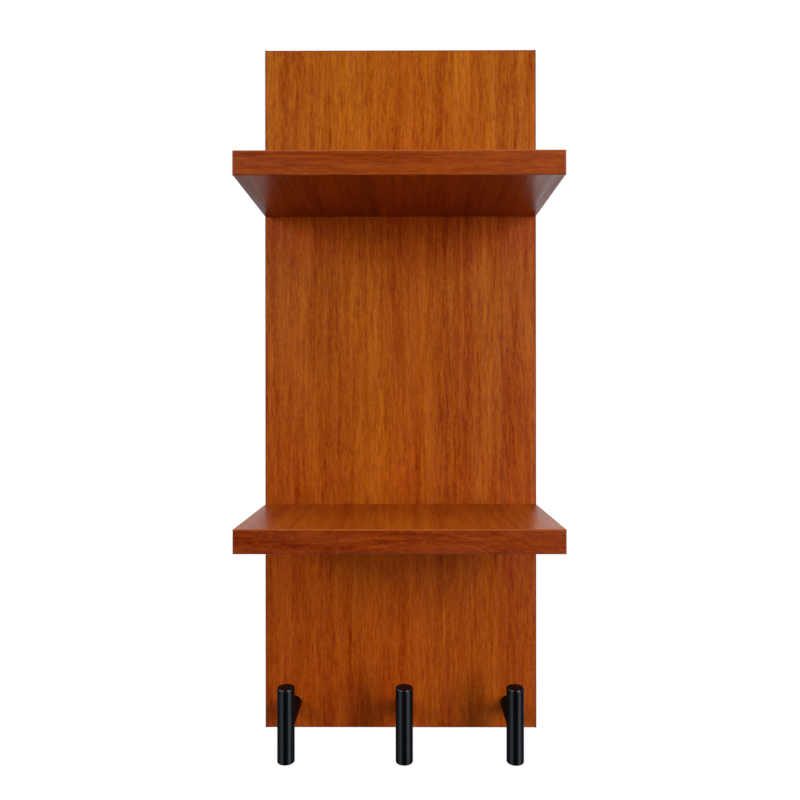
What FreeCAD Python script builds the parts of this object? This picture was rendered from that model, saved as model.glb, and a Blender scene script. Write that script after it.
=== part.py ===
"""Wall shelf with hooks: a veneered back panel, two shelves and three T-bar hooks.

X runs to the right, Y towards the wall and Z up, in millimetres. The origin is on the wall plane, midway between
the two keyhole seats that the panel hangs from.
"""
import FreeCAD, Part
import math
import os
import re
import Sketcher

# Driving sizes, in millimetres
SIZES = {
    # Back panel
    "panel_width": 200,
    "panel_height": 500,
    "panel_thickness": 15,
    # Shelves, measured up from the panel's lower edge
    "shelf_depth": 100,
    "shelf_thickness": 15,
    "lower_shelf_height": 150,
    "shelf_gap": 212,
    # Veneer and edge bands
    "veneer_thickness": 0.6,
    "band_thickness": 1,
    "band_round": 0.8,
    # Free space round a fastener in its hole, and past its end
    "hole_clearance": 0.1,
    "end_room": 1,
    # Wood screws and dowels that hold each shelf
    "shelf_screw_spacing": 90,
    "shelf_screw_length": 45,
    "shelf_screw_radius": 2,
    "shelf_screw_head_radius": 4,
    "shelf_screw_sink": 0.3,
    "dowel_spacing": 150,
    "dowel_radius": 3,
    "dowel_length": 30,
    "dowel_in_panel": 10,
    "dowel_chamfer": 0.7,
    "dowel_flute_radius": 0.3,
    # Hooks
    "hook_height": 18.3,
    "hook_spacing": 79,
    "middle_hook_offset": 2.6,
    "bar_radius": 6,
    "bar_length": 51.5,
    "bar_round": 0.8,
    "bar_standoff": 34.5,
    "post_radius": 5.75,
    "post_chamfer": 0.4,
    "saddle_clearance": 0.05,
    "stud_radius": 2.5,
    "stud_length": 14,
    "stud_in_bar": 6,
    "stud_chamfer": 0.5,
    # Machine screws and washers behind the hooks
    "hook_screw_length": 20,
    "hook_screw_radius": 2,
    "hook_screw_head_radius": 4,
    "hook_screw_head_height": 2.8,
    "hook_screw_head_round": 1.2,
    "washer_radius": 4.5,
    "washer_thickness": 0.8,
    "counterbore_radius": 5,
    "counterbore_depth": 4.5,
    # Keyhole hanger plates and their screws
    "hanger_drop": 40,
    "hanger_spacing": 120,
    "plate_width": 16,
    "plate_length": 46,
    "plate_thickness": 1.5,
    "plate_sink": 0.2,
    "plate_clearance": 0.15,
    "seat_radius": 2.25,
    "entry_radius": 4.75,
    "entry_drop": 11,
    "head_room_radius": 5.25,
    "head_room_depth": 7,
    "plate_screw_spacing": 35,
    "plate_screw_length": 10,
    "plate_screw_radius": 1.5,
    "plate_screw_head_radius": 2.9,
    # Cross recesses in the screw heads
    "recess_span": 4.2,
    "recess_slot": 1,
    "recess_depth": 1.4,
    "small_recess_span": 3,
    "small_recess_slot": 0.8,
    "small_recess_depth": 0.9,
    # Thread grooves
    "wood_thread_pitch": 1.8,
    "wood_thread_depth": 0.55,
    "machine_thread_pitch": 0.7,
    "machine_thread_depth": 0.35,
}
DOWEL_FLUTES = 12
WOOD_THREADS = 15
PLATE_THREADS = 3
HOOK_THREADS = 11
STUD_THREADS = 17

# Places that several pieces share
PANEL_TOP = "hanger_drop"
PANEL_BOTTOM = "(hanger_drop - panel_height)"
HOOK_LEVEL = f"({PANEL_BOTTOM} + hook_height)"
SHELF_BOTTOMS = {
    "upper": f"({PANEL_BOTTOM} + lower_shelf_height + shelf_thickness + shelf_gap)",
    "lower": f"({PANEL_BOTTOM} + lower_shelf_height)",
}
HOOK_PLACES = {
    "left": "-hook_spacing",
    "middle": "middle_hook_offset",
    "right": "hook_spacing",
}
HANGER_PLACES = {
    "left": "-hanger_spacing / 2",
    "right": "hanger_spacing / 2",
}
PLATE_MIDDLE = "((seat_radius - entry_drop - entry_radius) / 2)"
SHELF_SCREW_REACH = "(shelf_screw_length + shelf_screw_sink - panel_thickness)"
DOWEL_IN_SHELF = "(dowel_length - dowel_in_panel)"
HOOK_SCREW_REACH = "(hook_screw_length - washer_thickness - panel_thickness + counterbore_depth)"
# How far a cutting shape runs past the face it starts from
OVERRUN = "1"

doc = FreeCAD.newDocument("wall_shelf_with_hooks")
sheet = doc.addObject("Spreadsheet::Sheet", "Sizes")
for row, (alias, value) in enumerate(SIZES.items(), start=1):
    sheet.set(f"A{row}", alias)
    sheet.set(f"B{row}", str(value))
    sheet.setAlias(f"B{row}", alias)
doc.recompute()

finished = []


def formula(text):
    """The text with each size's name pointed at its cell."""
    return re.sub(r"[a-z_]{2,}", lambda word: f"Sizes.{word[0]}", text)


def bind(item, **formulas):
    """Ties properties to sizes; two underscores stand for the dot in a property's path."""
    for name, text in formulas.items():
        item.setExpression(name.replace("__", "."), formula(text))


def place(item, x="0", y="0", z="0"):
    bind(item, Placement__Base__x=x, Placement__Base__y=y, Placement__Base__z=z)


def finish(item, label):
    """Names a finished piece and puts it on the list of pieces to write."""
    item.Label = label
    finished.append(item)
    return item


# Boards, drilled with plain solids

def block(name, x, y, z):
    """A box between two places on each axis."""
    box = doc.addObject("Part::Box", name)
    bind(box, Length=f"{x[1]} - ({x[0]})", Width=f"{y[1]} - ({y[0]})", Height=f"{z[1]} - ({z[0]})")
    place(box, x[0], y[0], z[0])
    return box


def bore(name, x, z, start, radius, depth):
    """A round cutting shape that runs from the start towards the front."""
    cylinder = doc.addObject("Part::Cylinder", name)
    cylinder.Placement.Rotation = FreeCAD.Rotation(FreeCAD.Vector(1, 0, 0), 90)
    bind(cylinder, Radius=radius, Height=depth)
    place(cylinder, x, start, z)
    return cylinder


def countersink(name, x, z, wide, narrow):
    """A right-angled cone that opens at the wall plane."""
    cone = doc.addObject("Part::Cone", name)
    cone.Placement.Rotation = FreeCAD.Rotation(FreeCAD.Vector(1, 0, 0), 90)
    bind(cone, Radius1=wide, Radius2=narrow, Height=f"{wide} - {narrow}")
    place(cone, x, "0", z)
    return cone


def slot(name, x, low, high, radius, depth):
    """A round-ended upright cutting shape, sunk from the wall plane."""
    reach = f"{depth} + {OVERRUN}"
    middle = block(
        f"{name}_middle", (f"{x} - {radius}", f"({x} + {radius})"), (f"-({depth})", OVERRUN), (low, high)
    )
    ends = [bore(f"{name}_{end}", x, level, OVERRUN, radius, reach) for end, level in (("low", low), ("high", high))]
    return [middle, *ends]


def drilled(board, cuts):
    """The board with a joined group of cutting shapes taken out."""
    cut = doc.addObject("Part::Cut", f"{board.Name}_drilled")
    cut.Base = board
    cut.Tool = cuts
    return cut


def joined(name, shapes):
    group = doc.addObject("Part::MultiFuse", name)
    group.Shapes = shapes
    return group


# Bodies, made from sketches

def origin_plane(body, role):
    return next(feature for feature in body.Origin.OriginFeatures if feature.Role == role)


def sketch_on(body, role, name, offset="0"):
    """An empty sketch on an origin plane, or that far along the plane's normal."""
    sketch = body.newObject("Sketcher::SketchObject", name)
    sketch.AttachmentSupport = [(origin_plane(body, role), "")]
    sketch.MapMode = "FlatFace"
    bind(sketch, AttachmentOffset__Base__z=offset)
    return sketch


def dimension(sketch, name, constraint, text):
    index = sketch.addConstraint(constraint)
    sketch.renameConstraint(index, name)
    sketch.setExpression(f"Constraints.{name}", formula(text))


def outline(sketch, corners):
    """A closed run of straight lines; each corner's place is given by two formulas."""
    count = len(corners)
    turns = [2 * math.pi * index / count for index in range(count)]
    start = [FreeCAD.Vector(math.cos(turn), math.sin(turn), 0) for turn in turns]
    for index in range(count):
        sketch.addGeometry(Part.LineSegment(start[index], start[(index + 1) % count]))
    for index in range(count):
        sketch.addConstraint(Sketcher.Constraint("Coincident", index, 2, (index + 1) % count, 1))
    for index, (across, up) in enumerate(corners):
        dimension(sketch, f"across{index}", Sketcher.Constraint("DistanceX", -1, 1, index, 1, 1), across)
        dimension(sketch, f"up{index}", Sketcher.Constraint("DistanceY", -1, 1, index, 1, 1), up)
    return sketch


def rectangle(sketch, across, up):
    corners = [(across[0], up[0]), (across[1], up[0]), (across[1], up[1]), (across[0], up[1])]
    return outline(sketch, corners)


def circle(sketch, radius, across="0", up="0"):
    centre = FreeCAD.Vector(1, 1, 0)
    sketch.addGeometry(Part.Circle(centre, FreeCAD.Vector(0, 0, 1), 1))
    dimension(sketch, "across", Sketcher.Constraint("DistanceX", -1, 1, 0, 3, 1), across)
    dimension(sketch, "up", Sketcher.Constraint("DistanceY", -1, 1, 0, 3, 1), up)
    dimension(sketch, "radius", Sketcher.Constraint("Radius", 0, 1), radius)
    return sketch


def new_body(name):
    return doc.addObject("PartDesign::Body", name)


def pad(body, sketch, length, both_ways=False):
    feature = body.newObject("PartDesign::Pad", f"{sketch.Name}_pad")
    feature.Profile = sketch
    feature.SideType = "Symmetric" if both_ways else "One side"
    bind(feature, Length=length)
    return feature


def pocket(body, sketch, depth, reverse=False, both_ways=False):
    """A cut of the sketch, which has to make the body smaller."""
    doc.recompute()
    before = body.Shape.Volume
    feature = body.newObject("PartDesign::Pocket", f"{sketch.Name}_cut")
    feature.Profile = sketch
    feature.SideType = "Symmetric" if both_ways else "One side"
    feature.Reversed = reverse
    bind(feature, Length=depth)
    doc.recompute()
    if not body.Shape.Volume < before - 1e-6:
        raise RuntimeError(f"{feature.Name} cuts nothing")
    return feature


def turned(body, corners, name):
    """A solid of revolution about the body's Y axis."""
    sketch = outline(sketch_on(body, "XY_Plane", name), corners)
    feature = body.newObject("PartDesign::Revolution", f"{name}_turned")
    feature.Profile = sketch
    feature.ReferenceAxis = (sketch, ["V_Axis"])
    feature.Angle = 360
    doc.recompute()
    return feature


def thread(body, name, radius, start, pitch, depth, count):
    """A row of turned grooves along the body's Y axis, starting from a place on it."""
    doc.recompute()
    before = body.Shape.Volume
    outer = f"({radius} + 0.2)"
    half = f"{pitch} * 0.45"
    sketch = outline(
        sketch_on(body, "XY_Plane", name),
        [(f"{radius} - {depth}", start), (outer, f"{start} + {half}"), (outer, f"{start} - {half}")],
    )
    groove = body.newObject("PartDesign::Groove", f"{name}_groove")
    groove.Profile = sketch
    groove.ReferenceAxis = (sketch, ["V_Axis"])
    groove.Angle = 360
    doc.recompute()
    rows = body.newObject("PartDesign::LinearPattern", f"{name}_rows")
    rows.Originals = [groove]
    rows.Direction = (sketch, ["V_Axis"])
    rows.Reversed = True
    rows.Mode = "Spacing"
    rows.Occurrences = count
    bind(rows, Offset=pitch)
    body.Tip = rows
    doc.recompute()
    if not body.Shape.Volume < before - 1e-6:
        raise RuntimeError(f"{name} cuts nothing")


def recess(body, name, prefix=""):
    """A cross-shaped driver recess in the face at the body's origin."""
    tip = f"{prefix}recess_span / 2"
    side = f"{prefix}recess_slot / 2"
    quarter = [(tip, side), (side, side), (side, tip)]
    corners = []
    for turn in range(4):
        for across, up in quarter:
            for _ in range(turn):
                across, up = f"-({up})", across
            corners.append((across, up))
    sketch = outline(sketch_on(body, "XZ_Plane", name), corners)
    pocket(body, sketch, f"{prefix}recess_depth", reverse=True)


def edge_names(feature, edges):
    """The names, on the feature's shape, of the edges given."""
    everything = feature.Shape.Edges
    return [f"Edge{index + 1}" for index, edge in enumerate(everything) if any(edge.isSame(one) for one in edges)]


def soften(body, feature, edges, kind, **size):
    """A fillet or a chamfer on some edges of the body's last feature."""
    softened = body.newObject(f"PartDesign::{kind}", f"{feature.Name}_{kind.lower()}")
    softened.Base = (feature, edge_names(feature, edges))
    bind(softened, **size)
    doc.recompute()
    return softened


def copies(name, label, original, places):
    """One node that holds a separate copy of a small piece at each place."""
    links = []
    for index, (x, y, z) in enumerate(places, start=1):
        link = doc.addObject("App::Link", f"{name}_{index}")
        link.LinkedObject = original
        place(link, x, y, z)
        links.append(link)
    group = doc.addObject("Part::Compound", name)
    group.Links = links
    return finish(group, label)


def edge_band(label, x, y, z, outward, rounded_along):
    """A strip of edge band whose outer corners are rounded where they run along the given axes."""
    body = new_body(label)
    sketch = rectangle(sketch_on(body, "XY_Plane", f"{label}_plan", z[0]), x, y)
    strip = pad(body, sketch, f"{z[1]} - ({z[0]})")
    doc.recompute()
    outer = max(strip.Shape.Faces, key=lambda face: face.CenterOfMass.dot(outward))
    edges = [edge for edge in outer.Edges if any(abs(edge.tangentAt(0).dot(axis)) > 0.99 for axis in rounded_along)]
    soften(body, strip, edges, "Fillet", Radius="band_round")
    return finish(body, label)


ALONG_X = FreeCAD.Vector(1, 0, 0)
ALONG_Y = FreeCAD.Vector(0, 1, 0)
ALONG_Z = FreeCAD.Vector(0, 0, 1)
WIDE = ("-panel_width / 2", "panel_width / 2")
WIDE_INSIDE = ("-panel_width / 2 + band_thickness", "panel_width / 2 - band_thickness")
LEFT_STRIP = (WIDE[0], WIDE_INSIDE[0])
RIGHT_STRIP = (WIDE_INSIDE[1], WIDE[1])


# Back panel

def shelf_middle(shelf):
    return f"{SHELF_BOTTOMS[shelf]} + shelf_thickness / 2"


def panel_cuts():
    """Every hole and recess in the panel, joined into one cutting shape."""
    through = f"panel_thickness + 2 * {OVERRUN}"
    shapes = []
    for shelf in SHELF_BOTTOMS:
        level = shelf_middle(shelf)
        for side in ("-", ""):
            x = f"{side}shelf_screw_spacing / 2"
            name = f"{shelf}_shelf_screw_{'left' if side else 'right'}"
            wide = "(shelf_screw_head_radius + hole_clearance + shelf_screw_sink)"
            narrow = "(shelf_screw_radius + hole_clearance)"
            shapes.append(bore(f"{name}_way", x, level, OVERRUN, narrow, through))
            shapes.append(countersink(f"{name}_sink", x, level, wide, narrow))
            x = f"{side}dowel_spacing / 2"
            name = f"{shelf}_dowel_{'left' if side else 'right'}"
            start = "-panel_thickness + dowel_in_panel + end_room / 2"
            depth = f"dowel_in_panel + end_room / 2 + {OVERRUN}"
            shapes.append(bore(f"{name}_panel_hole", x, level, start, "dowel_radius + hole_clearance", depth))
    for side, x in HOOK_PLACES.items():
        name = f"{side}_hook_screw"
        shapes.append(bore(f"{name}_way", x, HOOK_LEVEL, OVERRUN, "hook_screw_radius + hole_clearance", through))
        depth = f"counterbore_depth + {OVERRUN}"
        shapes.append(bore(f"{name}_counterbore", x, HOOK_LEVEL, OVERRUN, "counterbore_radius", depth))
    for side, x in HANGER_PLACES.items():
        name = f"{side}_hanger"
        half = "(plate_length / 2 - plate_width / 2)"
        low, high = f"{PLATE_MIDDLE} - {half}", f"({PLATE_MIDDLE} + {half})"
        radius = "(plate_width / 2 + plate_clearance)"
        shapes += slot(f"{name}_recess", x, low, high, radius, "(plate_thickness + plate_sink)")
        shapes += slot(f"{name}_head_room", x, "-entry_drop", "0", "head_room_radius", "head_room_depth")
        for end, level in plate_screw_levels().items():
            radius = "plate_screw_radius + hole_clearance"
            depth = f"plate_sink + plate_screw_length + end_room + {OVERRUN}"
            shapes.append(bore(f"{name}_{end}_pilot", x, level, OVERRUN, radius, depth))
    return joined("panel_cuts", shapes)


def plate_screw_levels():
    return {
        "low": f"({PLATE_MIDDLE} - plate_screw_spacing / 2)",
        "high": f"({PLATE_MIDDLE} + plate_screw_spacing / 2)",
    }


cuts = panel_cuts()
panel_up_inside = (f"{PANEL_BOTTOM} + band_thickness", f"{PANEL_TOP} - band_thickness")
panel_layers = {
    "back_panel_core": ("-panel_thickness + veneer_thickness", "-veneer_thickness"),
    "back_panel_front_veneer": ("-panel_thickness", "-panel_thickness + veneer_thickness"),
    "back_panel_back_veneer": ("-veneer_thickness", "0"),
}
for label, depth in panel_layers.items():
    layer = block(f"{label}_sheet", WIDE_INSIDE, depth, panel_up_inside)
    finish(drilled(layer, cuts), label)

panel_deep = ("-panel_thickness", "0")
panel_up = (PANEL_BOTTOM, PANEL_TOP)
top_strip = (panel_up_inside[1], PANEL_TOP)
bottom_strip = (PANEL_BOTTOM, panel_up_inside[0])
edge_band("back_panel_left_band", LEFT_STRIP, panel_deep, panel_up, -ALONG_X, (ALONG_Y, ALONG_Z))
edge_band("back_panel_right_band", RIGHT_STRIP, panel_deep, panel_up, ALONG_X, (ALONG_Y, ALONG_Z))
edge_band("back_panel_top_band", WIDE_INSIDE, panel_deep, top_strip, ALONG_Z, (ALONG_X,))
edge_band("back_panel_bottom_band", WIDE_INSIDE, panel_deep, bottom_strip, -ALONG_Z, (ALONG_X,))


# Shelves

SHELF_BACK = "-panel_thickness"
SHELF_FRONT = "(-panel_thickness - shelf_depth)"
SHELF_FRONT_INSIDE = f"({SHELF_FRONT} + band_thickness)"


def shelf_cuts(shelf):
    """The screw and dowel holes in a shelf's rear edge, joined into one cutting shape."""
    start = f"{SHELF_BACK} + {OVERRUN}"
    shapes = []
    for side in ("-", ""):
        name = f"{shelf}_shelf_{'left' if side else 'right'}"
        depth = f"{SHELF_SCREW_REACH} + end_room + {OVERRUN}"
        x = f"{side}shelf_screw_spacing / 2"
        radius = "shelf_screw_radius + hole_clearance"
        shapes.append(bore(f"{name}_pilot", x, shelf_middle(shelf), start, radius, depth))
        depth = f"{DOWEL_IN_SHELF} + end_room / 2 + {OVERRUN}"
        x = f"{side}dowel_spacing / 2"
        radius = "dowel_radius + hole_clearance"
        shapes.append(bore(f"{name}_dowel_hole", x, shelf_middle(shelf), start, radius, depth))
    return joined(f"{shelf}_shelf_cuts", shapes)


for shelf, bottom in SHELF_BOTTOMS.items():
    top = f"({bottom} + shelf_thickness)"
    core_bottom = f"{bottom} + veneer_thickness"
    core_top = f"{top} - veneer_thickness"
    deep = (SHELF_FRONT_INSIDE, SHELF_BACK)
    front_strip = (SHELF_FRONT, SHELF_FRONT_INSIDE)
    tall = (bottom, top)
    name = f"{shelf}_shelf"
    core = block(f"{name}_sheet", WIDE_INSIDE, deep, (core_bottom, core_top))
    finish(drilled(core, shelf_cuts(shelf)), f"{name}_core")
    finish(block(f"{name}_upper_sheet", WIDE_INSIDE, deep, (core_top, top)), f"{name}_top_veneer")
    finish(block(f"{name}_under_sheet", WIDE_INSIDE, deep, (bottom, core_bottom)), f"{name}_bottom_veneer")
    edge_band(f"{name}_left_band", LEFT_STRIP, deep, tall, -ALONG_X, (ALONG_Y,))
    edge_band(f"{name}_right_band", RIGHT_STRIP, deep, tall, ALONG_X, (ALONG_Y,))
    edge_band(f"{name}_front_band", WIDE, front_strip, tall, -ALONG_Y, (ALONG_X, ALONG_Z))


# Shelf screws and dowels

def countersunk_screw(name, length, radius, head_radius, prefix, threads):
    """A wood screw whose head top is at its origin and whose point is towards the front."""
    body = new_body(name)
    neck = f"({radius} - {head_radius})"
    point = f"-{length} + 2 * {radius}"
    profile = [("0", "0"), (head_radius, "0"), (radius, neck), (radius, point), ("0", f"-{length}")]
    turned(body, profile, f"{name}_profile")
    start = f"({point} + wood_thread_pitch * {threads - 0.4})"
    thread(body, f"{name}_thread", radius, start, "wood_thread_pitch", "wood_thread_depth", threads)
    recess(body, f"{name}_cross", prefix)
    return body


shelf_screw = countersunk_screw(
    "shelf_screw", "shelf_screw_length", "shelf_screw_radius", "shelf_screw_head_radius", "", WOOD_THREADS
)
screw_places = [
    (f"{side}shelf_screw_spacing / 2", "-shelf_screw_sink", shelf_middle(shelf))
    for shelf in SHELF_BOTTOMS for side in ("-", "")
]
copies("shelf_screw_set", "shelf_screws", shelf_screw, screw_places)

dowel = new_body("dowel")
dowel_rod = pad(dowel, circle(sketch_on(dowel, "XZ_Plane", "dowel_section"), "dowel_radius"), "dowel_length")
doc.recompute()
round_edges = [edge for edge in dowel_rod.Shape.Edges if isinstance(edge.Curve, Part.Circle)]
soften(dowel, dowel_rod, round_edges, "Chamfer", Size="dowel_chamfer")
flute_sketch = circle(sketch_on(dowel, "XZ_Plane", "dowel_flute"), "dowel_flute_radius", "dowel_radius")
flute = pocket(dowel, flute_sketch, "dowel_length", reverse=True)
flutes = dowel.newObject("PartDesign::PolarPattern", "dowel_flutes")
flutes.Originals = [flute]
flutes.Axis = (flute_sketch, ["N_Axis"])
flutes.Angle = 360
flutes.Occurrences = DOWEL_FLUTES
dowel.Tip = flutes
dowel_places = [
    (f"{side}dowel_spacing / 2", "-panel_thickness + dowel_in_panel", shelf_middle(shelf))
    for shelf in SHELF_BOTTOMS for side in ("-", "")
]
copies("dowel_set", "shelf_dowels", dowel, dowel_places)


# Hooks

def hook_bar(side, x):
    """An upright round bar with rounded ends and a blind hole for the stud in its rear."""
    name = f"{side}_hook_bar"
    body = new_body(name)
    rod = pad(body, circle(sketch_on(body, "XY_Plane", f"{name}_section"), "bar_radius"), "bar_length", both_ways=True)
    doc.recompute()
    ends = [edge for edge in rod.Shape.Edges if isinstance(edge.Curve, Part.Circle)]
    soften(body, rod, ends, "Fillet", Radius="bar_round")
    hole = circle(sketch_on(body, "XZ_Plane", f"{name}_stud_hole", "-bar_radius"), "stud_radius + hole_clearance")
    pocket(body, hole, "stud_in_bar + end_room / 2", reverse=True)
    place(body, x, "-panel_thickness - bar_standoff", HOOK_LEVEL)
    return finish(body, name)


def hook_post(side, x):
    """A round post from the panel to the bar, hollowed to sit on the bar and bored from both ends."""
    name = f"{side}_hook_post"
    body = new_body(name)
    rod = pad(body, circle(sketch_on(body, "XZ_Plane", f"{name}_section"), "post_radius"), "bar_standoff")
    doc.recompute()
    foot = min(rod.Shape.Faces, key=lambda face: abs(face.CenterOfMass.y))
    soften(body, rod, foot.Edges, "Chamfer", Size="post_chamfer")
    saddle = sketch_on(body, "XY_Plane", f"{name}_saddle")
    circle(saddle, "bar_radius + saddle_clearance", "0", "-bar_standoff")
    pocket(body, saddle, "4 * post_radius", both_ways=True)
    screw_hole = circle(sketch_on(body, "XZ_Plane", f"{name}_screw_hole"), "hook_screw_radius + hole_clearance")
    pocket(body, screw_hole, f"{HOOK_SCREW_REACH} + end_room", reverse=True)
    stud_hole = sketch_on(body, "XZ_Plane", f"{name}_stud_hole", "bar_standoff")
    circle(stud_hole, "stud_radius + hole_clearance")
    pocket(body, stud_hole, "bar_radius + stud_length - stud_in_bar + end_room / 2")
    place(body, x, "-panel_thickness", HOOK_LEVEL)
    return finish(body, name)


for side, x in HOOK_PLACES.items():
    hook_bar(side, x)
    hook_post(side, x)

stud = new_body("stud")
stud_rod = pad(stud, circle(sketch_on(stud, "XZ_Plane", "stud_section"), "stud_radius"), "stud_length")
doc.recompute()
stud_ends = [edge for edge in stud_rod.Shape.Edges if isinstance(edge.Curve, Part.Circle)]
soften(stud, stud_rod, stud_ends, "Chamfer", Size="stud_chamfer")
thread(
    stud, "stud_thread", "stud_radius", "-1.4", "machine_thread_pitch", "machine_thread_depth", STUD_THREADS
)
stud_rear = "-panel_thickness - bar_standoff + bar_radius - stud_in_bar + stud_length"
copies("stud_set", "hook_studs", stud, [(x, stud_rear, HOOK_LEVEL) for x in HOOK_PLACES.values()])

hook_screw = new_body("hook_screw")
head_neck = "-hook_screw_head_height"
screw_end = "(-hook_screw_head_height - hook_screw_length)"
turned(
    hook_screw,
    [
        ("0", "0"),
        ("hook_screw_head_radius - hook_screw_head_round", "0"),
        ("hook_screw_head_radius", "-hook_screw_head_round"),
        ("hook_screw_head_radius", head_neck),
        ("hook_screw_radius", head_neck),
        ("hook_screw_radius", f"{screw_end} + machine_thread_depth"),
        ("hook_screw_radius - machine_thread_depth", screw_end),
        ("0", screw_end),
    ],
    "hook_screw_profile",
)
thread(
    hook_screw,
    "hook_screw_thread",
    "hook_screw_radius",
    f"({screw_end} + machine_thread_pitch * {HOOK_THREADS + 0.5})",
    "machine_thread_pitch",
    "machine_thread_depth",
    HOOK_THREADS,
)
recess(hook_screw, "hook_screw_cross")
head_top = "-counterbore_depth + washer_thickness + hook_screw_head_height"
copies("hook_screw_set", "hook_screws", hook_screw, [(x, head_top, HOOK_LEVEL) for x in HOOK_PLACES.values()])

washer = new_body("washer")
pad(washer, circle(sketch_on(washer, "XZ_Plane", "washer_rim"), "washer_radius"), "washer_thickness")
washer_hole = circle(sketch_on(washer, "XZ_Plane", "washer_hole"), "hook_screw_radius + hole_clearance")
pocket(washer, washer_hole, "washer_thickness", reverse=True)
washer_rear = "-counterbore_depth + washer_thickness"
copies("washer_set", "hook_washers", washer, [(x, washer_rear, HOOK_LEVEL) for x in HOOK_PLACES.values()])


# Keyhole hangers

def hanger_plate(side, x):
    """A round-ended plate with a keyhole and two countersunk screw holes; its origin is the keyhole's seat."""
    name = f"{side}_hanger_plate"
    body = new_body(name)
    half = "(plate_length / 2 - plate_width / 2)"
    low, high = f"{PLATE_MIDDLE} - {half}", f"{PLATE_MIDDLE} + {half}"
    flat = rectangle(
        sketch_on(body, "XZ_Plane", f"{name}_flat"), ("-plate_width / 2", "plate_width / 2"), (low, high)
    )
    pad(body, flat, "plate_thickness")
    for end, level in (("low", low), ("high", high)):
        tip = circle(sketch_on(body, "XZ_Plane", f"{name}_{end}_end"), "plate_width / 2", "0", level)
        pad(body, tip, "plate_thickness")
    entry = circle(sketch_on(body, "XZ_Plane", f"{name}_entry"), "entry_radius", "0", "-entry_drop")
    pocket(body, entry, "plate_thickness", reverse=True)
    neck = rectangle(
        sketch_on(body, "XZ_Plane", f"{name}_neck"), ("-seat_radius", "seat_radius"), ("-entry_drop", "0")
    )
    pocket(body, neck, "plate_thickness", reverse=True)
    seat = circle(sketch_on(body, "XZ_Plane", f"{name}_seat"), "seat_radius")
    pocket(body, seat, "plate_thickness", reverse=True)
    for end, level in plate_screw_levels().items():
        hole = sketch_on(body, "XZ_Plane", f"{name}_{end}_hole")
        circle(hole, "plate_screw_radius + hole_clearance", "0", level)
        pocket(body, hole, "plate_thickness", reverse=True)
        sink = sketch_on(body, "XZ_Plane", f"{name}_{end}_sink")
        circle(sink, "plate_screw_head_radius + hole_clearance", "0", level)
        cone = pocket(body, sink, "plate_screw_head_radius - plate_screw_radius", reverse=True)
        cone.TaperAngle = -45
    place(body, x, "-plate_sink", "0")
    return finish(body, name)


for side, x in HANGER_PLACES.items():
    hanger_plate(side, x)

plate_screw = countersunk_screw(
    "plate_screw", "plate_screw_length", "plate_screw_radius", "plate_screw_head_radius", "small_", PLATE_THREADS
)
plate_screw_places = [(x, "-plate_sink", level) for x in HANGER_PLACES.values() for level in plate_screw_levels().values()]
copies("plate_screw_set", "hanger_screws", plate_screw, plate_screw_places)

# Every feature is tested, then each piece is written to its own file
doc.recompute()
for item in doc.Objects:
    if "Invalid" in item.State or "Error" in item.State:
        raise RuntimeError(f"{item.Name} is {item.State}")
os.makedirs("parts", exist_ok=True)
for item in finished:
    if item.Shape.isNull() or not item.Shape.isValid():
        raise RuntimeError(f"{item.Label} has no valid shape")
    item.Shape.exportStep(f"parts/{item.Label}.step")
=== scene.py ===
import math

import bmesh
import bpy
from mathutils import Matrix, Vector


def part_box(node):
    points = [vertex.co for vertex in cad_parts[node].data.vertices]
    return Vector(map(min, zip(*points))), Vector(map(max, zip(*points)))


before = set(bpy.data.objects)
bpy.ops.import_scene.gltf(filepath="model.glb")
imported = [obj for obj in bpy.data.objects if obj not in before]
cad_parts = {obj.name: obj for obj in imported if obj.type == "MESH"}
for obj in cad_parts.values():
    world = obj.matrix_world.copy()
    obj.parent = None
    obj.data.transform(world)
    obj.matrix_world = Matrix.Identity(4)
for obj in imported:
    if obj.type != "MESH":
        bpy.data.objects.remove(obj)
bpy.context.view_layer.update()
scene = bpy.context.scene
scene.view_settings.view_transform = "Standard"


# Node helpers

VECTOR = "NodeSocketVector"
COLOUR = "NodeSocketColor"
VALUE = "NodeSocketFloat"


def add(tree, kind, **settings):
    """A new node with its own settings."""
    node = tree.nodes.new(kind)
    for name, value in settings.items():
        setattr(node, name, value)
    return node


def fill(node, **values):
    """Sets inputs by name; an underscore stands for a space."""
    for name, value in values.items():
        node.inputs[name.replace("_", " ")].default_value = value
    return node


def join(tree, term, socket):
    """Puts a plain value on a socket, or wires another socket to it."""
    if isinstance(term, (int, float, tuple)):
        socket.default_value = term
    else:
        tree.links.new(term, socket)


def reckon(tree, kind, operation, terms):
    """The outputs of a node that works out one operation on its terms."""
    node = add(tree, kind, operation=operation)
    for term, socket in zip(terms, node.inputs):
        join(tree, term, socket)
    return node.outputs


def math_node(tree, operation, *terms):
    """The result of one operation on values."""
    return reckon(tree, "ShaderNodeMath", operation, terms)["Value"]


def vector_node(tree, operation, *terms):
    """The result of one operation on vectors."""
    return reckon(tree, "ShaderNodeVectorMath", operation, terms)["Vector"]


def split(tree, vector):
    """The X, Y and Z sockets of a vector."""
    node = add(tree, "ShaderNodeSeparateXYZ")
    join(tree, vector, node.inputs["Vector"])
    return node.outputs


def climb(tree, value, low, high):
    """A smooth mask that goes from 0 at low to 1 at high."""
    node = add(tree, "ShaderNodeMapRange", interpolation_type="SMOOTHSTEP")
    fill(node, From_Min=low, From_Max=high)
    join(tree, value, node.inputs["Value"])
    return node.outputs["Result"]


def weighted(tree, value, weight, base):
    """base + weight * value."""
    return math_node(tree, "MULTIPLY_ADD", value, weight, base)


def centred(tree, value, weight, base):
    """base + weight * (value - 0.5)."""
    return weighted(tree, math_node(tree, "SUBTRACT", value, 0.5), weight, base)


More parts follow.
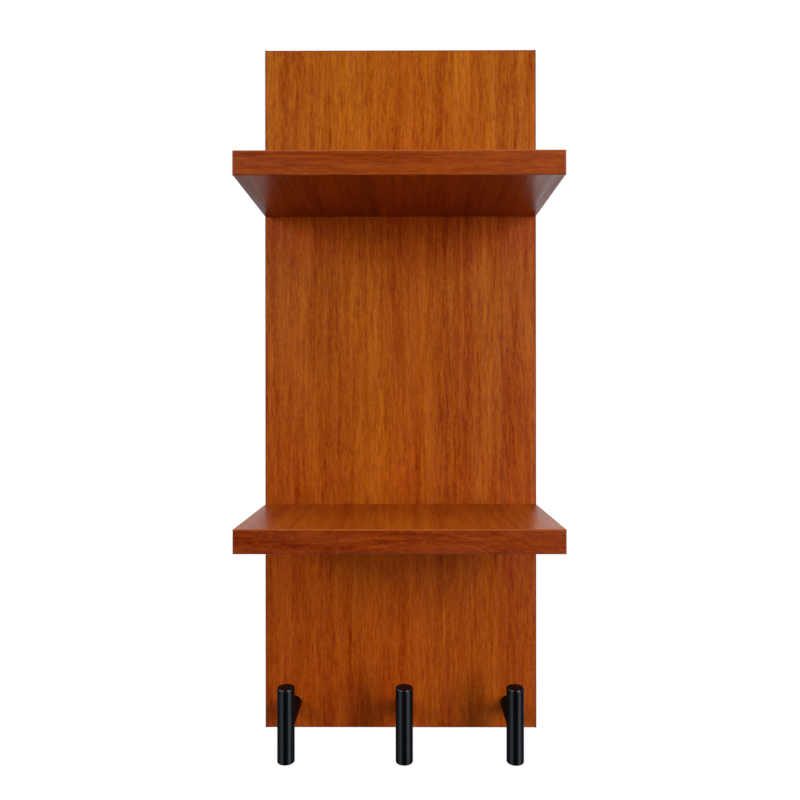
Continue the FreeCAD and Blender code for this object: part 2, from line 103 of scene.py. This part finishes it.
def blend(tree, factor, first, second, kind="MIX"):
    """A mix of two colours."""
    node = add(tree, "ShaderNodeMix", data_type="RGBA", blend_type=kind)
    # The node has sockets for each kind of data, and its colour ones are found by place
    for term, index in ((factor, 0), (first, 6), (second, 7)):
        join(tree, term, node.inputs[index])
    return node.outputs[2]


def noise(tree, vector, across, along, detail=2.0, roughness=0.5, shift=0.0):
    """Noise with its own pitch, in cells per metre, across the grain and along it."""
    mapping = add(tree, "ShaderNodeMapping")
    fill(mapping, Scale=(across, across, along), Location=(shift, -shift, shift))
    join(tree, vector, mapping.inputs["Vector"])
    texture = fill(add(tree, "ShaderNodeTexNoise"), Scale=1.0, Detail=detail, Roughness=roughness)
    join(tree, mapping.outputs["Vector"], texture.inputs["Vector"])
    return texture.outputs["Fac"]


def new_group(name, inputs, outputs):
    """An empty node group with named sockets; returns its tree, its given and its result sockets."""
    tree = bpy.data.node_groups.new(name, "ShaderNodeTree")
    for in_out, sockets in (("INPUT", inputs), ("OUTPUT", outputs)):
        for label, kind in sockets.items():
            tree.interface.new_socket(label, in_out=in_out, socket_type=kind)
    return tree, add(tree, "NodeGroupInput").outputs, add(tree, "NodeGroupOutput").inputs


def new_material(name):
    """A material that holds only a Principled shader; returns the material, its tree and the shader."""
    material = bpy.data.materials.new(name)
    material.use_nodes = True
    tree = material.node_tree
    tree.nodes.clear()
    shader = add(tree, "ShaderNodeBsdfPrincipled")
    join(tree, shader.outputs["BSDF"], add(tree, "ShaderNodeOutputMaterial").inputs["Surface"])
    return material, tree, shader


def object_place(tree, turn=(0.0, 0.0, 0.0), shift=(0.0, 0.0, 0.0)):
    """Object coordinates, turned and shifted for one finish."""
    mapping = fill(add(tree, "ShaderNodeMapping"), Rotation=turn, Location=shift)
    join(tree, add(tree, "ShaderNodeTexCoord").outputs["Object"], mapping.inputs["Vector"])
    return mapping.outputs["Vector"]


def paint(tree, shader, colour, rough):
    """Wires a colour and a roughness to the shader."""
    join(tree, colour, shader.inputs["Base Color"])
    join(tree, rough, shader.inputs["Roughness"])


def roughen(tree, shader, height, strength, distance):
    """A bump on the shader's normal."""
    bump = fill(add(tree, "ShaderNodeBump"), Strength=strength, Distance=distance)
    join(tree, height, bump.inputs["Height"])
    join(tree, bump.outputs["Normal"], shader.inputs["Normal"])


# Figure of the veneer

# How dull the lacquer is, and what the lines and the pores add to that
LACQUER_ROUGHNESS = 0.36
LINE_ROUGHNESS = 0.3
PORE_ROUGHNESS = 0.08
# How far the pores darken, and the shares of pores and fibres in the relief
PORE_TONE = 0.4
PORE_DEPTH = 0.7
FIBRE_HEIGHT = 0.5
# How strongly some zones redden, their tint, and the height from which a veneer reddens downwards
BLUSH = 0.22
REDDENED = (1.0, 0.6, 0.78, 1)
REDDENS_BELOW = 0.05


def bent_grain(tree, given):
    """The given vector, paced along the grain and bent sideways as growth bends it."""
    pace = fill(add(tree, "ShaderNodeCombineXYZ"), X=1.0, Y=1.0)
    join(tree, given["Pitch"], pace.inputs["Z"])
    place = vector_node(tree, "MULTIPLY", given["Vector"], pace.outputs["Vector"])
    drift = noise(tree, place, across=5.0, along=3.0, detail=1.0, roughness=0.4, shift=3.7)
    ripple = noise(tree, place, across=45.0, along=16.0, shift=5.1)
    sideways = 0.0
    for bend, amount in ((drift, "Wander"), (ripple, "Ripple")):
        sideways = centred(tree, bend, given[amount], sideways)
    offset = add(tree, "ShaderNodeCombineXYZ")
    for axis in ("X", "Y"):
        join(tree, sideways, offset.inputs[axis])
    return vector_node(tree, "ADD", place, offset.outputs["Vector"])


def veneer_figure_group():
    """Straight-grained veneer: the grain runs along the third axis of the given vector.

    Wander and Ripple bend the grain, in metres. Pitch is how often its marks come along it. Fine and
    Gleam are the strengths of its fine marks and its pale lines. Slope and Redden change its tone along
    it, per metre.
    """
    inputs = {"Vector": VECTOR}
    inputs.update(dict.fromkeys(("Pale", "Deep", "Pore"), COLOUR))
    inputs.update(dict.fromkeys(("Wander", "Ripple", "Pitch", "Fine", "Gleam", "Slope", "Redden"), VALUE))
    outputs = {"Color": COLOUR, "Roughness": VALUE, "Height": VALUE}
    tree, given, result = new_group("veneer figure", inputs, outputs)
    grain = bent_grain(tree, given)
    length = split(tree, given["Vector"])["Z"]

    zones = noise(tree, grain, across=60.0, along=3.0, detail=1.0, shift=1.3)
    lines = noise(tree, grain, across=240.0, along=10.0, detail=1.0, roughness=0.6, shift=7.1)
    strokes = noise(tree, grain, across=480.0, along=40.0, detail=0.0, shift=11.4)
    level = 0.5
    for streaks, weight in ((zones, 0.7), (lines, 0.63), (strokes, 0.3)):
        level = centred(tree, streaks, weight, level)
    fibres = noise(tree, grain, across=900.0, along=95.0, detail=0.0, shift=4.4)
    flecks = noise(tree, grain, across=640.0, along=250.0, detail=0.0, shift=8.6)
    specks = noise(tree, grain, across=1300.0, along=500.0, detail=0.0, shift=5.9)
    minute = 0.0
    for marks, weight in ((fibres, 0.44), (flecks, 0.32), (specks, 0.3)):
        minute = centred(tree, marks, weight, minute)
    level = weighted(tree, minute, given["Fine"], level)
    level = weighted(tree, length, given["Slope"], level)
    colour = blend(tree, level, given["Deep"], given["Pale"])

    gleam = noise(tree, grain, across=380.0, along=18.0, detail=1.0, shift=2.9)
    gleam = math_node(tree, "MULTIPLY", climb(tree, gleam, low=0.6, high=0.76), given["Gleam"])
    colour = blend(tree, gleam, colour, given["Pale"])
    blush = noise(tree, grain, across=30.0, along=2.5, shift=6.3)
    blush = math_node(tree, "MULTIPLY", climb(tree, blush, low=0.42, high=0.68), BLUSH)
    depth = math_node(tree, "SUBTRACT", REDDENS_BELOW, length)
    red = weighted(tree, depth, given["Redden"], blush)
    colour = blend(tree, red, colour, REDDENED, "MULTIPLY")
    pores = noise(tree, grain, across=1150.0, along=70.0, detail=1.0, shift=9.2)
    pores = math_node(tree, "MULTIPLY", climb(tree, pores, low=0.6, high=0.76), given["Fine"])
    colour = blend(tree, math_node(tree, "MULTIPLY", pores, PORE_TONE), colour, given["Pore"])

    rough = weighted(tree, pores, PORE_ROUGHNESS, LACQUER_ROUGHNESS)
    height = weighted(tree, pores, -PORE_DEPTH, math_node(tree, "MULTIPLY", fibres, FIBRE_HEIGHT))
    join(tree, colour, result["Color"])
    join(tree, centred(tree, lines, LINE_ROUGHNESS, rough), result["Roughness"])
    join(tree, height, result["Height"])
    return tree


# Painted highlight and painted shade along the arrises, and a duller, scuffed lacquer there

ARRIS_WIDTH = 0.0011
ARRIS_UNEVENNESS = 0.0008
ARRIS_ROUGHNESS = 0.35


def arris_light_and_wear_group():
    """A mask along the arrises of a box-shaped board, broken up by noise; it places painted highlights,
    painted shade and a duller, scuffed lacquer there.
    """
    inputs = {"Vector": VECTOR, "Middle": VECTOR, "Half size": VECTOR, "Width": VALUE}
    tree, given, result = new_group("arris painted light and wear", inputs, {"Mask": VALUE})
    reach = vector_node(tree, "ABSOLUTE", vector_node(tree, "SUBTRACT", given["Vector"], given["Middle"]))
    across, deep, high = split(tree, vector_node(tree, "SUBTRACT", given["Half size"], reach))
    # On a face one inset is nought, so the middle one of the three is the distance to the nearest arris
    nearer = math_node(tree, "MINIMUM", across, deep)
    farther = math_node(tree, "MAXIMUM", across, deep)
    distance = math_node(tree, "MAXIMUM", nearer, math_node(tree, "MINIMUM", farther, high))
    patches = noise(tree, given["Vector"], across=220.0, along=220.0, roughness=0.6, shift=3.3)
    distance = centred(tree, patches, ARRIS_UNEVENNESS, distance)
    mask = math_node(tree, "SUBTRACT", 1.0, math_node(tree, "DIVIDE", distance, given["Width"]))
    join(tree, climb(tree, mask, low=0.0, high=1.0), result["Mask"])
    return tree


# Veneers

# Turns that lay the grain along a piece
QUARTER = math.pi / 2
UPRIGHT = (0.0, 0.0, 0.0)
FRONT_TO_BACK = (QUARTER, 0.0, 0.0)
SIDEWAYS = (0.0, QUARTER, 0.0)

# Where in the sheet each veneer is cut
PANEL_CUT = (0.77, 0.0, 0.0)
SHELF_CUT = (1.7, 0.0, 0.3)
UNDERSIDE_CUT = (0.9, 0.0, 0.7)

FACE_TONES = {
    "Pale": (0.507, 0.153, 0.004, 1),
    "Deep": (0.21, 0.02, 0.0, 1),
    "Pore": (0.16, 0.017, 0.0, 1),
}
SHELF_TONES = {
    # Pale's blue is raised a little, a faint painted sheen on the shelves' veneers
    "Pale": (0.56, 0.141, 0.006, 1),
    "Deep": (0.235, 0.019, 0.0, 1),
    "Pore": (0.18, 0.016, 0.0, 1),
}
# The undersides take a darker, redder copy of the shelf tones, which is painted shade
PAINTED_SHADE_UNDERSIDE_TONES = {
    "Pale": (0.447, 0.07, 0.0, 1),
    "Deep": (0.118, 0.002, 0.0, 1),
    "Pore": (0.1, 0.003, 0.0, 1),
}
PANEL_FLOW = {"Wander": 0.01, "Ripple": 0.0004, "Pitch": 1.0, "Fine": 1.17, "Gleam": 0.45, "Redden": 1.5}
SHELF_FLOW = {"Wander": 0.01, "Ripple": 0.0004, "Pitch": 0.6, "Fine": 0.6, "Gleam": 0.45}

LACQUER_SPECULAR = 0.2
RELIEF_STRENGTH = 0.03
RELIEF = 0.0002

# Painted red shade on the panel just below each shelf: its tint, its strength under each shelf and its
# reach from a shelf's underside
PAINTED_SHADE_RED = (1.08, 0.75, 0.65, 1)
SHADED_BY = {"upper_shelf": 0.85, "lower_shelf": 0.35}
SHADE_REACH = 0.052
SHADE_FULL = 0.004
SHADE_COVERED = 0.003

veneer_figure = veneer_figure_group()
arris_light_and_wear_tree = arris_light_and_wear_group()


def below_shelf(tree, shelf):
    """A mask that is 1 just below a shelf and fades out further down the panel."""
    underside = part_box(shelf + "_bottom_veneer")[0][2]
    height = split(tree, object_place(tree))["Z"]
    near = climb(tree, height, low=underside - SHADE_REACH, high=underside - SHADE_FULL)
    covered = climb(tree, height, low=underside, high=underside + SHADE_COVERED)
    return math_node(tree, "SUBTRACT", near, covered)


def veneer_finish(name, turn, cut, tones, flow, board=None, painted_arris_tone=None, shaded_by=None):
    """Lacquered veneer with its grain turned to run along the piece.

    A board's arrises can take a painted highlight or painted shade and a duller lacquer, and the veneer
    can take a painted red shade just below the shelves.
    """
    material, tree, shader = new_material(name)
    figure = add(tree, "ShaderNodeGroup", node_tree=veneer_figure)
    join(tree, object_place(tree, turn, cut), figure.inputs["Vector"])
    fill(figure, **tones, **flow)
    colour = figure.outputs["Color"]
    rough = figure.outputs["Roughness"]
    # Painted red shade: the veneer is tinted redder just below each shelf
    for shelf, strength in (shaded_by or {}).items():
        shaded = math_node(tree, "MULTIPLY", below_shelf(tree, shelf), strength)
        colour = blend(tree, shaded, colour, PAINTED_SHADE_RED, "MULTIPLY")
    if board:
        middle, half_size = board
        arris_light_and_wear_mask = add(tree, "ShaderNodeGroup", node_tree=arris_light_and_wear_tree)
        join(tree, object_place(tree), arris_light_and_wear_mask.inputs["Vector"])
        fill(arris_light_and_wear_mask, Middle=middle, Half_size=half_size, Width=ARRIS_WIDTH)
        # Painted highlight or painted shade along the arrises, and a duller, scuffed lacquer there through
        # the roughness
        colour = blend(tree, arris_light_and_wear_mask.outputs["Mask"], colour, painted_arris_tone)
        rough = weighted(tree, arris_light_and_wear_mask.outputs["Mask"], ARRIS_ROUGHNESS, rough)
    paint(tree, shader, colour, rough)
    fill(shader, Specular_IOR_Level=LACQUER_SPECULAR)
    roughen(tree, shader, figure.outputs["Height"], RELIEF_STRENGTH, RELIEF)
    return material


panel_back = veneer_finish("panel back veneer", UPRIGHT, PANEL_CUT, FACE_TONES, PANEL_FLOW)
panel_front = veneer_finish(
    "panel front veneer", UPRIGHT, PANEL_CUT, FACE_TONES, PANEL_FLOW, shaded_by=SHADED_BY
)
shelf_veneer = veneer_finish("shelf veneer", FRONT_TO_BACK, SHELF_CUT, SHELF_TONES, SHELF_FLOW)
underside_veneer = veneer_finish(
    "underside veneer", FRONT_TO_BACK, UNDERSIDE_CUT, PAINTED_SHADE_UNDERSIDE_TONES, SHELF_FLOW
)


# Edge bands

BAND_TONES = {
    "Pale": (0.375, 0.078, 0.004, 1),
    "Deep": (0.13, 0.007, 0.0, 1),
    "Pore": (0.1, 0.006, 0.0, 1),
}
UPPER_FRONT_TONES = {
    "Pale": (0.365, 0.067, 0.002, 1),
    "Deep": (0.112, 0.003, 0.0, 1),
    "Pore": (0.09, 0.004, 0.0, 1),
}
LOWER_FRONT_TONES = {
    "Pale": (0.332, 0.055, 0.001, 1),
    "Deep": (0.1, 0.002, 0.0, 1),
    "Pore": (0.07, 0.003, 0.0, 1),
}
BAND_FLOW = {"Wander": 0.012, "Ripple": 0.0014, "Pitch": 1.3, "Fine": 1.0, "Gleam": 0.45}
# Slope paints the front strips lighter towards their right ends, a painted light falloff
UPPER_FRONT_FLOW = {
    "Wander": 0.012, "Ripple": 0.0006, "Pitch": 0.55, "Fine": 1.15, "Gleam": 0.6, "Slope": -1.2,
}
LOWER_FRONT_FLOW = {
    "Wander": 0.07, "Ripple": 0.0014, "Pitch": 1.5, "Fine": 1.2, "Gleam": 0.75, "Slope": -0.9,
}
FRONT_STRIPS = {
    "upper_shelf": (UPPER_FRONT_TONES, UPPER_FRONT_FLOW),
    "lower_shelf": (LOWER_FRONT_TONES, LOWER_FRONT_FLOW),
}
# Painted highlight along the front strips' top arris, and painted shade along the other bands' arrises
PAINTED_ARRIS_HIGHLIGHT = (0.41, 0.1, 0.014, 1)
PAINTED_ARRIS_SHADE = (0.17, 0.03, 0.004, 1)
# The step in the roll from one strip to the next
STRIP_STEP = 0.7
# A half size so large that a front strip's ends and its lower edge don't count as arrises
BEYOND = 10.0


def board_box(board):
    """The middle and the half size of one board with its veneers and bands."""
    corners = [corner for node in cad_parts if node.startswith(board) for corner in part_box(node)]
    low = Vector(map(min, *corners))
    high = Vector(map(max, *corners))
    return (low + high) / 2, (high - low) / 2


def band_finish(node, number):
    """One strip of edge band, cut from its own place in the roll, with its grain along it."""
    board, side = node.removesuffix("_band").rsplit("_", 1)
    middle, half_size = board_box(board)
    cut = (STRIP_STEP * number, 0.0, 0.0)
    if side == "front":
        half_size.x = BEYOND
        middle.z += half_size.z - BEYOND
        half_size.z = BEYOND
        tones, flow = FRONT_STRIPS[board]
        return veneer_finish(node, SIDEWAYS, cut, tones, flow, (middle, half_size), PAINTED_ARRIS_HIGHLIGHT)
    turn = FRONT_TO_BACK
    if board == "back_panel":
        turn = UPRIGHT if side in ("left", "right") else SIDEWAYS
    return veneer_finish(node, turn, cut, BAND_TONES, BAND_FLOW, (middle, half_size), PAINTED_ARRIS_SHADE)


bands = sorted(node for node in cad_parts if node.endswith("_band"))
band_finishes = {node: band_finish(node, number) for number, node in enumerate(bands)}


# Fibreboard core, dowels and metal

# How far below a bar's top its rubbed end starts, and where it is fully rubbed
RUB_START = 0.0016
RUB_FULL = 0.0004
ZINC_TONES = {
    "zinc plate": ((0.3, 0.31, 0.33, 1), (0.62, 0.62, 0.6, 1)),
    "zinc screw": ((0.25, 0.24, 0.22, 1), (0.56, 0.53, 0.45, 1)),
}


def fibreboard_finish():
    """Pressed fibreboard: pale clumps and dark specks, dull and a little rough."""
    brown = (0.25, 0.145, 0.07, 1)
    pale = (0.42, 0.28, 0.155, 1)
    dark = (0.16, 0.085, 0.04, 1)
    material, tree, shader = new_material("fibreboard")
    place = object_place(tree)
    clumps = noise(tree, place, across=700.0, along=700.0, detail=3.0, roughness=0.7, shift=2.0)
    specks = noise(tree, place, across=3200.0, along=2100.0, detail=1.0, shift=5.0)
    specks = climb(tree, specks, low=0.6, high=0.8)
    colour = blend(tree, specks, blend(tree, clumps, brown, pale), dark)
    paint(tree, shader, colour, weighted(tree, clumps, weight=0.2, base=0.75))
    roughen(tree, shader, clumps, strength=0.3, distance=0.0003)
    return material


def dowel_finish():
    """Raw beech with short dark flecks."""
    tan = (0.5, 0.33, 0.18, 1)
    pale = (0.72, 0.53, 0.34, 1)
    dark = (0.36, 0.2, 0.1, 1)
    material, tree, shader = new_material("beech dowel")
    place = object_place(tree, FRONT_TO_BACK)
    grain = noise(tree, place, across=1400.0, along=40.0, detail=3.0, roughness=0.6, shift=1.0)
    flecks = noise(tree, place, across=2600.0, along=500.0, detail=1.0, shift=6.0)
    flecks = math_node(tree, "MULTIPLY", climb(tree, flecks, low=0.6, high=0.75), 0.5)
    colour = blend(tree, flecks, blend(tree, grain, tan, pale), dark)
    paint(tree, shader, colour, weighted(tree, grain, weight=0.2, base=0.55))
    roughen(tree, shader, grain, strength=0.2, distance=0.0002)
    return material


def black_metal_finish():
    """Blackened metal with a faint orange peel, rubbed a little brighter on the bars' top ends."""
    black = (0.02, 0.022, 0.025, 1)
    grey_black = (0.028, 0.031, 0.035, 1)
    rubbed_grey = (0.062, 0.064, 0.072, 1)
    cold_glint = (0.46, 0.52, 0.66, 1)
    bar_top = max(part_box(node)[1][2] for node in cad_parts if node.endswith("_hook_bar"))
    material, tree, shader = new_material("satin black")
    place = object_place(tree)
    peel = noise(tree, place, across=1500.0, along=1500.0, shift=8.0)
    cloud = noise(tree, place, across=90.0, along=60.0, shift=2.0)
    rubbed = climb(tree, split(tree, place)["Z"], low=bar_top - RUB_START, high=bar_top - RUB_FULL)
    colour = blend(tree, rubbed, blend(tree, cloud, black, grey_black), rubbed_grey)
    paint(tree, shader, colour, weighted(tree, cloud, weight=0.06, base=0.21))
    fill(shader, Metallic=0.95, Specular_Tint=cold_glint)
    roughen(tree, shader, peel, strength=0.05, distance=0.0002)
    return material


def zinc_finish(name):
    """Zinc plate: clouded metal with fine lines from rolling and small tumbling marks."""
    dull, bright = ZINC_TONES[name]
    material, tree, shader = new_material(name)
    place = object_place(tree)
    cloud = noise(tree, place, across=260.0, along=140.0, detail=3.0, roughness=0.6, shift=1.0)
    rolled = noise(tree, place, across=3200.0, along=45.0, roughness=0.6, shift=6.0)
    marks = noise(tree, place, across=2400.0, along=900.0, roughness=0.6, shift=4.0)
    level = weighted(tree, climb(tree, cloud, low=0.3, high=0.7), weight=0.5, base=0.25)
    level = centred(tree, rolled, 0.9, level)
    paint(tree, shader, blend(tree, level, dull, bright), weighted(tree, marks, weight=0.2, base=0.2))
    fill(shader, Metallic=1.0)
    roughen(tree, shader, math_node(tree, "ADD", marks, rolled), strength=0.1, distance=0.0002)
    return material


fibreboard = fibreboard_finish()
beech_dowel = dowel_finish()
satin_black = black_metal_finish()
zinc_plate = zinc_finish("zinc plate")
zinc_screw = zinc_finish("zinc screw")

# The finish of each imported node, by the ending of its name; the first that fits counts
FINISHES = (
    ("_core", fibreboard),
    ("back_panel_front_veneer", panel_front),
    ("back_panel_back_veneer", panel_back),
    ("_bottom_veneer", underside_veneer),
    ("_veneer", shelf_veneer),
    ("shelf_dowels", beech_dowel),
    ("_hook_bar", satin_black),
    ("_hook_post", satin_black),
    ("_plate", zinc_plate),
)


def finish_of(node):
    """A band's own finish, the one that fits the node's name, or the screws' zinc."""
    if node in band_finishes:
        return band_finishes[node]
    return next((finish for ending, finish in FINISHES if node.endswith(ending)), zinc_screw)


for node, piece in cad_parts.items():
    piece.data.materials.clear()
    piece.data.materials.append(finish_of(node))


# Lamps

MIDDLE = Vector((0.0, -0.02, -0.21))
LAMP_REACH = 1.4


def softbox(name, azimuth, elevation, width, height, power, lights_wood=True):
    """A rectangular lamp round the object, facing the middle of the panel; angles in degrees."""
    turn = math.radians(azimuth)
    rise = math.radians(elevation)
    toward = Vector((math.sin(turn) * math.cos(rise), -math.cos(turn) * math.cos(rise), math.sin(rise)))
    lamp = bpy.data.lights.new(name, "AREA")
    lamp.shape = "RECTANGLE"
    lamp.size = width
    lamp.size_y = height
    lamp.energy = power
    holder = bpy.data.objects.new(name, lamp)
    scene.collection.objects.link(holder)
    holder.location = MIDDLE + LAMP_REACH * toward
    holder.rotation_euler = toward.to_track_quat("Z", "Y").to_euler()
    holder.visible_camera = False
    holder.visible_diffuse = lights_wood


softbox("right_softbox", azimuth=40, elevation=9, width=0.48, height=1.1, power=16.4)
softbox("left_softbox", azimuth=-40, elevation=15, width=0.6, height=0.45, power=6.3)
softbox("side_softbox", azimuth=-80, elevation=25, width=0.5, height=0.5, power=4.4)
softbox("top_softbox", azimuth=0, elevation=75, width=0.6, height=0.34, power=5.6)
softbox("back_softbox", azimuth=180, elevation=50, width=0.6, height=0.6, power=8.5)
softbox("right_hook_card", azimuth=52, elevation=-33, width=0.75, height=0.5, power=2.1, lights_wood=False)
softbox("left_hook_card", azimuth=-50, elevation=-33, width=0.75, height=0.5, power=1.4, lights_wood=False)


# Backdrop

# Levels of the backdrop and the room, where 1 is white: as light on the object, and as it mirrors them
BACKDROP_LIGHT = 0.4
ROOM_LIGHT = 0.01
MIRRORED_BACKDROP = 0.74
MIRRORED_RIGHT = 0.36
MIRRORED_CORNER = 0.7
MIRRORED_BELOW = -0.08
MIRRORED_ROOM = 0.02
MIRRORED_SIDES = 0.3


def mirrored_studio(tree, direction):
    """What gloss mirrors: a backdrop, brightest low on the right, and a dim room with paler sides."""
    right = climb(tree, direction["X"], low=0.0, high=0.25)
    below = climb(tree, direction["Z"], low=0.1, high=-0.25)
    corner = math_node(tree, "MULTIPLY", right, below)
    backdrop = MIRRORED_BACKDROP
    for part, extra in ((right, MIRRORED_RIGHT), (corner, MIRRORED_CORNER), (below, MIRRORED_BELOW)):
        backdrop = weighted(tree, part, extra, backdrop)
    straight_behind = climb(tree, direction["Y"], low=0.72, high=0.92)
    aside = climb(tree, math_node(tree, "ABSOLUTE", direction["X"]), low=0.7, high=0.9)
    return weighted(tree, aside, MIRRORED_SIDES, weighted(tree, straight_behind, backdrop, MIRRORED_ROOM))


def studio_world():
    """A white backdrop behind the object, seen directly and in reflections, and a dim room in front."""
    world = bpy.data.worlds.new("studio")
    world.use_nodes = True
    tree = world.node_tree
    tree.nodes.clear()
    background = fill(add(tree, "ShaderNodeBackground"), Color=(1, 1, 1, 1))
    join(tree, background.outputs["Background"], add(tree, "ShaderNodeOutputWorld").inputs["Surface"])
    ray = add(tree, "ShaderNodeLightPath").outputs
    direction = split(tree, add(tree, "ShaderNodeTexCoord").outputs["Generated"])
    behind = climb(tree, direction["Y"], low=0.0, high=0.35)
    ambient = weighted(tree, behind, BACKDROP_LIGHT, ROOM_LIGHT)
    seen = math_node(tree, "MAXIMUM", ray["Is Camera Ray"], ray["Is Transmission Ray"])
    shown = math_node(tree, "MAXIMUM", seen, ray["Is Glossy Ray"])
    lighting = math_node(tree, "SUBTRACT", 1.0, shown)
    strength = weighted(tree, ambient, lighting, seen)
    strength = weighted(tree, mirrored_studio(tree, direction), ray["Is Glossy Ray"], strength)
    join(tree, strength, background.inputs["Strength"])
    scene.world = world


studio_world()


# Floor

FLOOR_RADIUS = 0.9
FLOOR_SIDES = 96
FLOOR_FORWARD = 0.1
FLOOR_HEIGHT = -1.2
FADE_START = 0.4
FADE_END = 0.88


def pale_floor():
    """A round pale floor under the shelf that fades out towards its rim."""
    grey = (0.86, 0.86, 0.86, 1)
    pale = (0.9, 0.9, 0.9, 1)
    mesh = bpy.data.meshes.new("floor")
    shape = bmesh.new()
    bmesh.ops.create_circle(shape, cap_ends=True, segments=FLOOR_SIDES, radius=FLOOR_RADIUS)
    bmesh.ops.translate(shape, verts=shape.verts, vec=(0.0, -FLOOR_FORWARD, FLOOR_HEIGHT))
    shape.to_mesh(mesh)
    shape.free()
    floor = bpy.data.objects.new("floor", mesh)
    scene.collection.objects.link(floor)
    material, tree, shader = new_material("pale floor")
    place = object_place(tree, shift=(0.0, FLOOR_FORWARD, 0.0))
    mottle = noise(tree, place, across=30.0, along=30.0, detail=3.0, roughness=0.6, shift=1.0)
    paint(tree, shader, blend(tree, mottle, grey, pale), weighted(tree, mottle, weight=0.1, base=0.85))
    level = vector_node(tree, "MULTIPLY", place, (1.0, 1.0, 0.0))
    reach = reckon(tree, "ShaderNodeVectorMath", "LENGTH", (level,))["Value"]
    faded = climb(tree, reach, low=FADE_START, high=FADE_END)
    join(tree, math_node(tree, "SUBTRACT", 1.0, faded), shader.inputs["Alpha"])
    mesh.materials.append(material)


pale_floor()


# Camera

# The focal length and the shift are in pixels of the photograph, which is this wide
PHOTO_PIXELS = 800.0
FOCAL_PIXELS = 713.07
SHIFT_PIXELS_X = -3.3
SHIFT_PIXELS_Y = -4.8
SENSOR_WIDTH = 36.0
NEAR_LIMIT = 0.01
EYE = Vector((0.00409, -0.54115, -0.21492))
AHEAD = Vector((-0.004, 1.0, 0.0003))
LEAN = 0.0009


def photo_camera():
    """The photograph's viewpoint, fitted to the panel's corners and the shelf fronts."""
    ahead = AHEAD.normalized()
    right = ahead.cross(Vector((0, 0, 1))).normalized()
    up = right.cross(ahead)
    right, up = (right - LEAN * up).normalized(), (up + LEAN * right).normalized()
    lens = bpy.data.cameras.new("photo_camera")
    lens.sensor_width = SENSOR_WIDTH
    lens.lens = SENSOR_WIDTH * FOCAL_PIXELS / PHOTO_PIXELS
    lens.shift_x = SHIFT_PIXELS_X / PHOTO_PIXELS
    lens.shift_y = SHIFT_PIXELS_Y / PHOTO_PIXELS
    lens.clip_start = NEAR_LIMIT
    camera = bpy.data.objects.new("photo_camera", lens)
    scene.collection.objects.link(camera)
    turn = Matrix((right, up, -ahead)).transposed()
    camera.matrix_world = Matrix.Translation(EYE) @ turn.to_4x4()
    scene.camera = camera


photo_camera()
